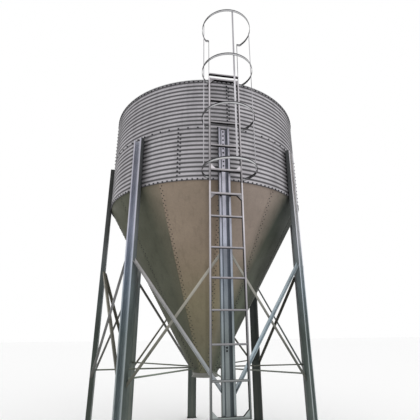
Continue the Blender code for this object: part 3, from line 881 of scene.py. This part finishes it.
GROOVE_TONES = (
    (1.5, (0.90, 0.90, 0.90)),
    (2.0, (0.82, 0.82, 0.82)),
    (2.84, (0.62, 0.62, 0.62)),
    (2.94, (1.20, 1.20, 1.20)),
    (3.4, (1.20, 1.20, 1.20)),
    (3.9, (1.32, 1.32, 1.32)),
)
LEG_SIDE_HEIGHTS = (3.0, 4.1)
LEG_SIDE_HIGH_SHADE = 0.52
# Painted light on the front-right leg, stronger higher up, and painted shade on the far legs' faces turned in
# behind the hopper.
RIGHT_LEG_ACROSS = (0.9, 1.1)
RIGHT_LEG_DEPTH = (-0.9, -0.8)
RIGHT_LEG_HEIGHTS = (1.5, 3.4)
RIGHT_LEG_LOW_SHARE = 0.3
FAR_LEG_DEPTH = (-1.0, 0.2)
FAR_LEG_ACROSS = (-1.2, 1.0)
FAR_LEG_LEFT_SHADE = (0.50, 0.50, 0.44)
FAR_LEG_RIGHT_SHADE = (0.15, 0.15, 0.13)


def block(name, low, high):
    """A block between two corners, placed in front of the tank's axis."""
    low = Vector(low)
    high = Vector(high)
    deselect_all()
    bpy.ops.mesh.primitive_cube_add(size=1.0, location=(low + high) / 2 + AXIS)
    piece = bpy.context.object
    piece.name = name
    piece.scale = high - low
    settle(piece)
    return piece


def turned_in(tree):
    """1 on faces that look in under the tank or sideways, 0 on faces that look out."""
    return spread(tree, facing_out(tree), 0.3, 0.6, 1.0, 0.0)


def shade_leg(material, front_right):
    """Lilac-grey under the tank, turning green-grey lower down, with painted light on the front-right leg and
    painted shade on the far legs' faces turned in behind the hopper.
    """
    tree = material.node_tree
    across, depth, height = split_place(tree)
    tint_up(material, 0.0, 5.0, LEG_TONES)
    at_right = calculate(tree, "MULTIPLY", spread(tree, across, *RIGHT_LEG_ACROSS),
                         spread(tree, depth, *RIGHT_LEG_DEPTH, 1.0, 0.0))
    at_right = calculate(tree, "MULTIPLY", at_right,
                         spread(tree, height, *RIGHT_LEG_HEIGHTS, RIGHT_LEG_LOW_SHARE, 1.0))
    tint(material, mix_colors(tree, at_right, WHITE, (*front_right, 1.0)))
    far_shade = mix_colors(tree, spread(tree, across, *FAR_LEG_ACROSS),
                          (*FAR_LEG_LEFT_SHADE, 1.0), (*FAR_LEG_RIGHT_SHADE, 1.0))
    in_shade = calculate(tree, "MULTIPLY", spread(tree, depth, *FAR_LEG_DEPTH), turned_in(tree))
    tint(material, mix_colors(tree, in_shade, WHITE, far_shade))


def fold_leg(name):
    """Draw half of the channel's section, mirror it, extrude it up, and weld it to its foot plate."""
    half = LEG_WIDTH / 2 - LEG_SKIN / 2
    front = -(LEG_FRONT - LEG_SKIN / 2)
    web = -(LEG_BACK + LEG_GROOVE_DEPTH + LEG_SKIN / 2)
    groove = -(LEG_BACK + LEG_SKIN / 2)
    lip_edge = LEG_WIDTH / 2 - LEG_LIP
    left = [(-lip_edge, front), (-half, front), (-half, web),
            (-LEG_GROOVE_WIDTH / 2 - LEG_GROOVE_FLARE, web), (-LEG_GROOVE_WIDTH / 2, groove)]
    outline = left + [(-x, y) for x, y in left[::-1]]
    leg = draw_line(name, [AXIS + Vector((x, y, FOOT_HEIGHT)) for x, y in outline])
    bpy.ops.mesh.extrude_region_move(TRANSFORM_OT_translate={"value": (0, 0, LEG_TOP - FOOT_HEIGHT)})
    settle(leg)
    soften(leg, LEG_FOLD, 3, 20.0)
    thicken(leg, LEG_SKIN, 0.0)
    for steel in leg_steels:
        leg.data.materials.append(steel)
    for face in leg.data.polygons:
        place = face.center - AXIS
        if abs(face.normal.x) > 0.7 and abs(place.x) > LEG_WIDTH / 3:
            face.material_index = SIDE if face.normal.x * place.x > 0 else INSIDE
        elif abs(place.x) <= LEG_GROOVE_WIDTH / 2 + 0.001:
            face.material_index = GROOVE
        elif place.y > front + LEG_LIP:
            face.material_index = WEB
        else:
            face.material_index = LIP
    foot = block("foot", (-FOOT_WIDTH / 2, -FOOT_REACH, 0.0),
                 (FOOT_WIDTH / 2, FOOT_DEPTH - FOOT_REACH, FOOT_HEIGHT))
    soften(foot, FOOT_EDGE)
    paint(foot, leg_steels[SIDE])
    leg = join_pieces(name, [leg, foot])
    smooth(leg)
    return leg


leg_steels = []
for name, light, dark, front_right in LEG_STEELS:
    steel = zinc_material(name, light, dark, underside_shade=0.5)
    shade_leg(steel, front_right)
    leg_steels.append(steel)
tint_up(leg_steels[GROOVE], 1.0, 5.0, GROOVE_TONES)
# The outer sides' painted shade deepens towards the top of the legs.
side_tree = leg_steels[SIDE].node_tree
side_height = split_place(side_tree)[2]
tint(leg_steels[SIDE], spread(side_tree, side_height, *LEG_SIDE_HEIGHTS, 1.0, LEG_SIDE_HIGH_SHADE))

first_leg = fold_leg("leg_channel_front")
for number, place in enumerate(LEG_NAMES):
    azimuth = number * LEG_SPACING
    leg = first_leg if number == 0 else turned_copy(first_leg, f"leg_channel_{place}", azimuth)
    # The front leg keeps the painted shade on its web; the other legs take the lighter inside steel there.
    if place != "front":
        leg.data.materials[WEB] = leg_steels[INSIDE]
    hand_over(leg, "legs", f"leg_{place}")
    heights = [FIRST_CREST + WAVE_PITCH * row for row in range(LEG_FIRST_CREST, RING_CRESTS)]
    places = []
    for height in LEG_LOW_BOLTS + heights:
        places.append((on_ring(LEG_BACK + LEG_SKIN, azimuth, height), outward_at(azimuth)))
    set_bolts(f"leg_bolts_{place}", places, "legs")
bpy.data.objects.remove(bolt, do_unlink=True)


# Braces and ties. Galvanised angle bars crossed in pairs between the legs, and level angle bars from the
# legs to the foot of the cone, all cut square to their seats and bolted.
BRACE_EDGE = 0.0012
TIE_EDGE = 0.0010
BAR_ACROSS = (-0.5, 0.5)
BAR_LOW_HEIGHTS = (1.5, 2.3)
BAR_BEHIND_DEPTH = (-0.9, -0.1)
FAR_BAR_SHADE = (0.48, 0.48, 0.44)


def softened_copy(node, name, width):
    """Copy a CAD solid, clean its facets back to whole faces, and round its edges."""
    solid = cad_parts[node]
    copy = solid.copy()
    copy.data = solid.data.copy()
    copy.name = name
    copy.parent = None
    bpy.context.scene.collection.objects.link(copy)
    pick(copy)
    bpy.ops.object.mode_set(mode="EDIT")
    bpy.ops.mesh.select_all(action="SELECT")
    bpy.ops.mesh.remove_doubles(threshold=0.00005)
    bpy.ops.mesh.dissolve_limited(angle_limit=math.radians(1.0))
    settle(copy)
    for key in list(copy.keys()):
        del copy[key]
    soften(copy, width)
    smooth(copy)
    return copy


def shade_bar(material, left, right, low):
    """Tone a bar from the left of the silo to the right and lower down, and paint shade on its faces turned
    in behind the hopper.
    """
    tree = material.node_tree
    across, depth, height = split_place(tree)
    tint(material, mix_colors(tree, spread(tree, across, *BAR_ACROSS), (*left, 1.0), (*right, 1.0)))
    behind = spread(tree, depth, *BAR_BEHIND_DEPTH)
    high_or_behind = calculate(tree, "MAXIMUM", spread(tree, height, *BAR_LOW_HEIGHTS), behind)
    tint(material, mix_colors(tree, high_or_behind, (*low, 1.0), WHITE))
    in_shade = calculate(tree, "MULTIPLY", behind, turned_in(tree))
    tint(material, mix_colors(tree, in_shade, WHITE, (*FAR_BAR_SHADE, 1.0)))


outer_brace_steel = zinc_material("galvanised_brace", (0.38, 0.38, 0.38), (0.30, 0.30, 0.30),
                                  underside_shade=0.8, side=0.8)
inner_brace_steel = zinc_material("galvanised_inner_brace", (0.38, 0.37, 0.34), (0.30, 0.29, 0.27),
                                  underside_shade=0.6, side=0.8)
tie_steel = zinc_material("galvanised_tie", (0.36, 0.37, 0.34), (0.26, 0.27, 0.24), underside_shade=0.4)
shade_bar(outer_brace_steel, (1.08, 1.06, 1.06), (1.08, 1.26, 1.36), (1.12, 1.16, 1.18))
shade_bar(inner_brace_steel, (1.22, 1.20, 1.12), (0.90, 0.92, 0.90), (0.36, 0.38, 0.36))
shade_bar(tie_steel, (0.90, 0.95, 0.90), (1.00, 1.00, 1.00), (0.90, 0.95, 0.92))
for layer, steel in (("outer", outer_brace_steel), ("inner", inner_brace_steel)):
    for bay in range(1, LEG_COUNT + 1):
        node = f"brace_{layer}_{bay}"
        bar = softened_copy(node, f"{node}_bar", BRACE_EDGE)
        paint(bar, steel)
        hand_over(bar, "braces", node)
for place in LEG_NAMES:
    node = f"tie_{place}"
    bar = softened_copy(node, f"{node}_bar", TIE_EDGE)
    paint(bar, tie_steel)
    hand_over(bar, "braces", node)


# Ladder. Two lengths of folded side rails with folded rungs, open below, let in between them; the end
# bars are deeper and stiffened by corner gussets, and flat handrails run on above the top step.
LADDER_FRONT = -2.0
LADDER_SKIN = 0.003
LADDER_EDGE = 0.0006
LADDER_HALF_INSIDE = 0.246
LADDER_INSIDE_TOP = (5.75, 5.8)
LADDER_INSIDE_SHADE = 0.05
RAIL_INNER_EDGE = 0.235
RAIL_EDGE_SHADE = 0.40
LADDER_TONES = (
    (0.8, (0.52, 0.60, 0.56)),
    (1.6, (0.66, 0.68, 0.68)),
    (2.4, (0.82, 0.82, 0.85)),
    (3.6, (1.00, 0.99, 1.00)),
    (5.75, (1.00, 0.99, 1.00)),
    (5.9, (0.16, 0.16, 0.17)),
)


def shade_ladder(material):
    """Tone the ladder by height, and paint shade on its inside and on the inner edge of the rails' fronts."""
    tree = material.node_tree
    across, depth, height = split_place(tree)
    aside = calculate(tree, "ABSOLUTE", across)
    tint_up(material, 0.5, 6.5, LADDER_TONES)
    inside = spread(tree, depth, LADDER_FRONT + LADDER_SKIN, LADDER_FRONT + 2 * LADDER_SKIN)
    inside = calculate(tree, "MULTIPLY", inside, spread(tree, height, *LADDER_INSIDE_TOP, 1.0, 0.0))
    between_rails = spread(tree, aside, LADDER_HALF_INSIDE, LADDER_HALF_INSIDE + LADDER_SKIN, 1.0, 0.0)
    inside = calculate(tree, "MULTIPLY", inside, between_rails)
    tint(material, spread(tree, inside, 0.0, 1.0, 1.0, LADDER_INSIDE_SHADE))
    front_skin = spread(tree, depth, LADDER_FRONT + 0.001, LADDER_FRONT + 0.002, 1.0, 0.0)
    inner_edge = spread(tree, aside, RAIL_INNER_EDGE - 0.002, RAIL_INNER_EDGE, 1.0, 0.0)
    inner_front = calculate(tree, "MULTIPLY", front_skin, inner_edge)
    tint(material, spread(tree, inner_front, 0.0, 1.0, 1.0, RAIL_EDGE_SHADE))


# The rungs' undersides and the rails' sides take painted shade.
ladder_steel = zinc_material("galvanised_ladder", (0.68, 0.65, 0.68), (0.58, 0.56, 0.58),
                             underside_shade=0.10, side=0.5)
shade_ladder(ladder_steel)
for node in ("ladder_lower", "ladder_upper"):
    length = softened_copy(node, f"{node}_frame", LADDER_EDGE)
    paint(length, ladder_steel)
    hand_over(length, "ladder", node)


# Safety cage. Four hoops of galvanised flat bar bent round the climber, their ends bolted to the rails,
# and three upright flat straps fixed inside them.
HOOP_COUNT = 4
HOOP_LOWEST = 3.890
HOOP_PITCH = 0.853
HOOP_STRETCH = 1.4
HOOP_HALF_HEIGHT = 0.021
CAGE_EDGE = 0.0012
CAGE_CENTRE_FORWARD = 2.233
HOOP_BAND_SHADE = (
    (0.000, (0.72, 0.72, 0.74)),
    (0.024, (0.72, 0.72, 0.74)),
    (0.026, (0.03, 0.03, 0.035)),
    (0.044, (0.03, 0.03, 0.035)),
)
HOOP_SIDE_SHADE = (
    (48.0, (1.0, 1.0, 1.0)),
    (62.0, (0.32, 0.32, 0.32)),
    (118.0, (0.32, 0.32, 0.32)),
    (130.0, (0.8, 0.8, 0.8)),
)
STRAP_TONES = (
    (5.05, (2.1, 2.1, 2.1)),
    (5.35, (1.0, 1.0, 1.0)),
)


def shade_hoop(material):
    """Paint shade on the upper part of each band, and on the stretches at the cage's left and right."""
    tree = material.node_tree
    across, depth, height = split_place(tree)
    up_the_band = calculate(tree, "SUBTRACT", height, HOOP_LOWEST - HOOP_HALF_HEIGHT)
    up_the_band = calculate(tree, "FLOORED_MODULO", up_the_band, HOOP_PITCH)
    tint(material, ramp(tree, up_the_band, 0.0, 0.05, HOOP_BAND_SHADE))
    round_hoop = azimuth_of(tree, across, calculate(tree, "ADD", depth, CAGE_CENTRE_FORWARD))
    tint(material, ramp(tree, calculate(tree, "ABSOLUTE", round_hoop), 0.0, 180.0, HOOP_SIDE_SHADE))


hoop_steel = zinc_material("galvanised_hoop", (1.0, 1.0, 1.0), (0.85, 0.85, 0.85), underside_shade=0.2, side=0.35)
shade_hoop(hoop_steel)
strap_steel = zinc_material("galvanised_strap", (0.42, 0.41, 0.43), (0.34, 0.33, 0.35), underside_shade=0.3)
tint_up(strap_steel, 4.0, 6.5, STRAP_TONES)
for number in range(HOOP_COUNT):
    node = f"cage_hoop_{number + 1}"
    hoop = softened_copy(node, f"{node}_band", CAGE_EDGE)
    bpy.ops.object.mode_set(mode="EDIT")
    bpy.ops.mesh.select_all(action="SELECT")
    middle = Vector((0.0, 0.0, HOOP_LOWEST + number * HOOP_PITCH))
    bpy.ops.transform.resize(value=(1.0, 1.0, HOOP_STRETCH), center_override=middle)
    settle(hoop)
    paint(hoop, hoop_steel)
    hand_over(hoop, "ladder", node)
for place in ("left", "front", "right"):
    node = f"cage_strap_{place}"
    strap = softened_copy(node, f"{node}_bar", CAGE_EDGE)
    paint(strap, strap_steel)
    hand_over(strap, "ladder", node)


# Studio. A plain pale floor, a white room and one soft lamp, high in front and to the right.
FLOOR_HALF = 60.0
FLOOR_COLOR = (0.96, 0.96, 0.96, 1.0)
LAMP_PLACE = (5.0, -7.0, 9.0)
LAMP_AIM = Vector((0.0, 0.35, 3.5))
LAMP_SIZE = 9.0
LAMP_ENERGY = 120.0

deselect_all()
bpy.ops.mesh.primitive_plane_add(size=2 * FLOOR_HALF)
floor = bpy.context.object
floor.name = "studio_floor"
floor_paint = bpy.data.materials.new("studio_floor_paint")
floor_paint.use_nodes = True
floor_shader = floor_paint.node_tree.nodes["Principled BSDF"]
floor_shader.inputs["Base Color"].default_value = FLOOR_COLOR
floor_shader.inputs["Roughness"].default_value = 0.9
paint(floor, floor_paint)

room = bpy.data.worlds.new("studio_room")
room.use_nodes = True
room_light = room.node_tree.nodes["Background"]
room_light.inputs["Color"].default_value = WHITE
room_light.inputs["Strength"].default_value = 1.0
bpy.context.scene.world = room

bpy.ops.object.light_add(type="AREA", location=LAMP_PLACE)
key_lamp = bpy.context.object
key_lamp.name = "key_softbox"
key_lamp.data.size = LAMP_SIZE
key_lamp.data.energy = LAMP_ENERGY
key_lamp.rotation_euler = (LAMP_AIM - key_lamp.location).to_track_quat("-Z", "Y").to_euler()
bpy.context.scene.view_settings.view_transform = "Standard"
